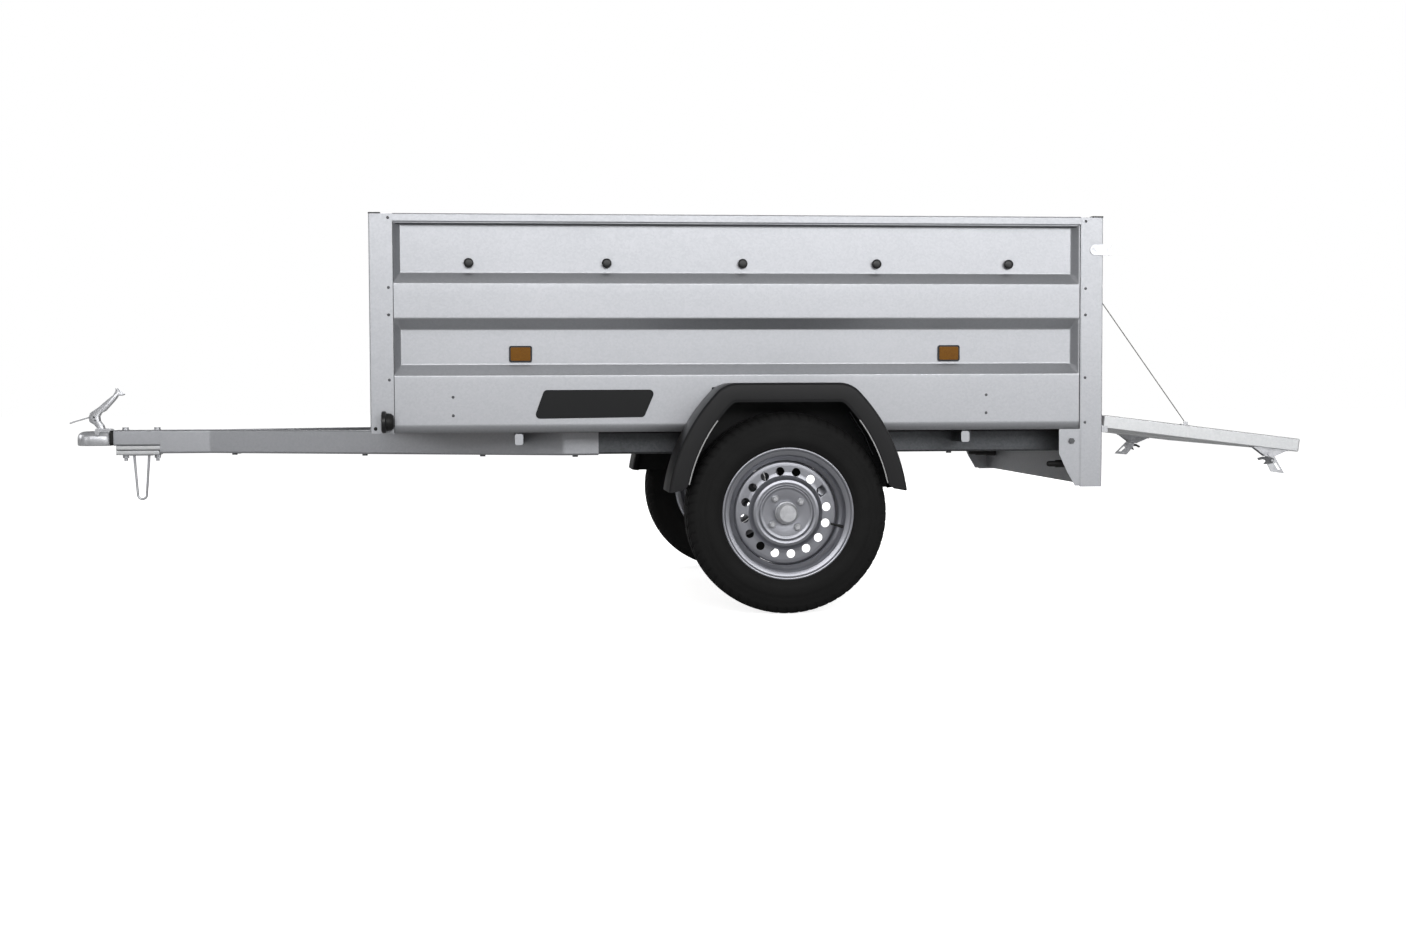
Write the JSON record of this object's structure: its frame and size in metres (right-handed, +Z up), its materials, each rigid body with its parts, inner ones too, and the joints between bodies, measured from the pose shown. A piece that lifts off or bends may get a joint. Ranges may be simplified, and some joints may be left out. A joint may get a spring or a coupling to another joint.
{
  "type": "box trailer",
  "caption": "Single-axle galvanised box trailer, V drawbar with ball coupling, pressed high sides, tailgate hung on wires, plastic mudguards.",
  "frame": {"origin": "middle of the overall bounding box, on the ground that the wheels stand on", "axes": "+X runs rearwards along the trailer from the coupling to the tailgate, +Y across it to the far side, +Z up"},
  "size_m": [3.604, 1.52, 1.107],
  "materials": {
    "galvanised_steel": "hot-dip galvanised",
    "zinc_steel": "zinc plated",
    "silver_paint": "silver lacquer",
    "tyre_rubber": "matt black",
    "plywood": "sealed plywood",
    "black_plastic": "grained black",
    "amber_plastic": "reflective amber",
    "dark_plate": "dark grey",
    "red_plastic": "clear red",
    "steel_wire": "braided wire"
  },
  "bodies": {
    "trailer": {"drawbar_leg_near": "galvanised_steel", "drawbar_leg_far": "galvanised_steel", "side_rail_near": "galvanised_steel", "side_rail_far": "galvanised_steel", "cross_member_front": "galvanised_steel", "cross_member_rear": "galvanised_steel", "floor_outriggers": "galvanised_steel", "axle_tube": "galvanised_steel", "axle_brackets": "galvanised_steel", "coupling_body": "zinc_steel", "handle_pin": "zinc_steel", "coupling_bolts": "zinc_steel", "coupling_nuts": "zinc_steel", "clamp_block": "galvanised_steel", "prop_stand": "zinc_steel", "frame_bolts": "zinc_steel", "floor_board": "plywood", "side_panel_near": "galvanised_steel", "side_panel_far": "galvanised_steel", "front_panel": "galvanised_steel", "front_post_near": "galvanised_steel", "front_post_far": "galvanised_steel", "rear_post_near": "galvanised_steel", "rear_post_far": "galvanised_steel", "post_caps": "black_plastic", "tarp_knobs": "black_plastic", "rivets": "zinc_steel", "side_reflectors": "amber_plastic", "sign_plates": "dark_plate", "marker_lamps": "black_plastic", "rear_light_panel": "galvanised_steel", "gussets": "galvanised_steel", "rear_lamps": "red_plastic", "number_plate_holder": "dark_plate", "hook_brackets": "zinc_steel", "hinge_brackets": "zinc_steel", "wire_studs": "zinc_steel", "wire_near": "steel_wire", "wire_far": "steel_wire", "mudguard_near": "black_plastic", "mudguard_far": "black_plastic"},
    "suspension_near": {"swing_arm_near": "galvanised_steel"},
    "suspension_far": {"swing_arm_far": "galvanised_steel"},
    "wheel_near": {"hub_near": "zinc_steel", "rim_near": "silver_paint", "tyre_near": "tyre_rubber", "wheel_bolts_near": "zinc_steel"},
    "wheel_far": {"hub_far": "zinc_steel", "rim_far": "silver_paint", "tyre_far": "tyre_rubber", "wheel_bolts_far": "zinc_steel"},
    "coupling_lever": {"coupling_handle": "zinc_steel"},
    "catch": {"safety_catch": "zinc_steel"},
    "gate": {"tailgate": "galvanised_steel", "gate_wire_eyes": "zinc_steel", "latch_bases": "zinc_steel"},
    "lever_near": {"latch_lever_near": "zinc_steel"},
    "lever_far": {"latch_lever_far": "zinc_steel"},
    "hook_near": {"latch_hook_near": "zinc_steel"},
    "hook_far": {"latch_hook_far": "zinc_steel"}
  },
  "joints": [
    {"name": "suspension_near_swing", "type": "hinge", "parent": "trailer", "child": "suspension_near", "pos_m": [0.10533, -0.58, 0.36], "axis": [0, 1, 0], "range_deg": [-14, 12], "stiffness_Nm_per_rad": 6000},
    {"name": "suspension_far_swing", "type": "hinge", "parent": "trailer", "child": "suspension_far", "pos_m": [0.10533, 0.58, 0.36], "axis": [0, 1, 0], "range_deg": [-14, 12], "stiffness_Nm_per_rad": 6000},
    {"name": "wheel_near_spin", "type": "hinge", "parent": "suspension_near", "child": "wheel_near", "pos_m": [0.25533, -0.679, 0.278], "axis": [0, 1, 0], "continuous": true},
    {"name": "wheel_far_spin", "type": "hinge", "parent": "suspension_far", "child": "wheel_far", "pos_m": [0.25533, 0.679, 0.278], "axis": [0, 1, 0], "continuous": true},
    {"name": "tailgate_hinge", "type": "hinge", "parent": "trailer", "child": "gate", "pos_m": [1.20033, 0, 0.5], "axis": [0, -1, 0], "range_deg": [0, 97.1], "deforming": ["wire_near", "wire_far"]},
    {"name": "latch_lever_near_pivot", "type": "hinge", "parent": "gate", "child": "lever_near", "pos_m": [1.70965, -0.53, 0.42245], "axis": [0, 1, 0], "range_deg": [0, 100]},
    {"name": "latch_lever_far_pivot", "type": "hinge", "parent": "gate", "child": "lever_far", "pos_m": [1.65805, 0.53, 0.42888], "axis": [0, -1, 0], "range_deg": [0, 100]},
    {"name": "latch_hook_near_pivot", "type": "hinge", "parent": "lever_near", "child": "hook_near", "pos_m": [1.71992, -0.53, 0.4029], "axis": [0, 1, 0], "range_deg": [-100, 0]},
    {"name": "latch_hook_far_pivot", "type": "hinge", "parent": "lever_far", "child": "hook_far", "pos_m": [1.64329, 0.53, 0.41244], "axis": [0, -1, 0], "range_deg": [-100, 0]},
    {"name": "coupling_lever_pivot", "type": "hinge", "parent": "trailer", "child": "coupling_lever", "pos_m": [-1.71467, 0, 0.492], "axis": [0, 1, 0], "range_deg": [0, 42]},
    {"name": "safety_catch_pivot", "type": "hinge", "parent": "coupling_lever", "child": "catch", "pos_m": [-1.73667, 0, 0.541], "axis": [0, 1, 0], "range_deg": [0, 14]}
  ],
  "couplings": [
    {"joint": "latch_hook_near_pivot", "follows": "latch_lever_near_pivot", "ratio": -1},
    {"joint": "latch_hook_far_pivot", "follows": "latch_lever_far_pivot", "ratio": -1}
  ]
}
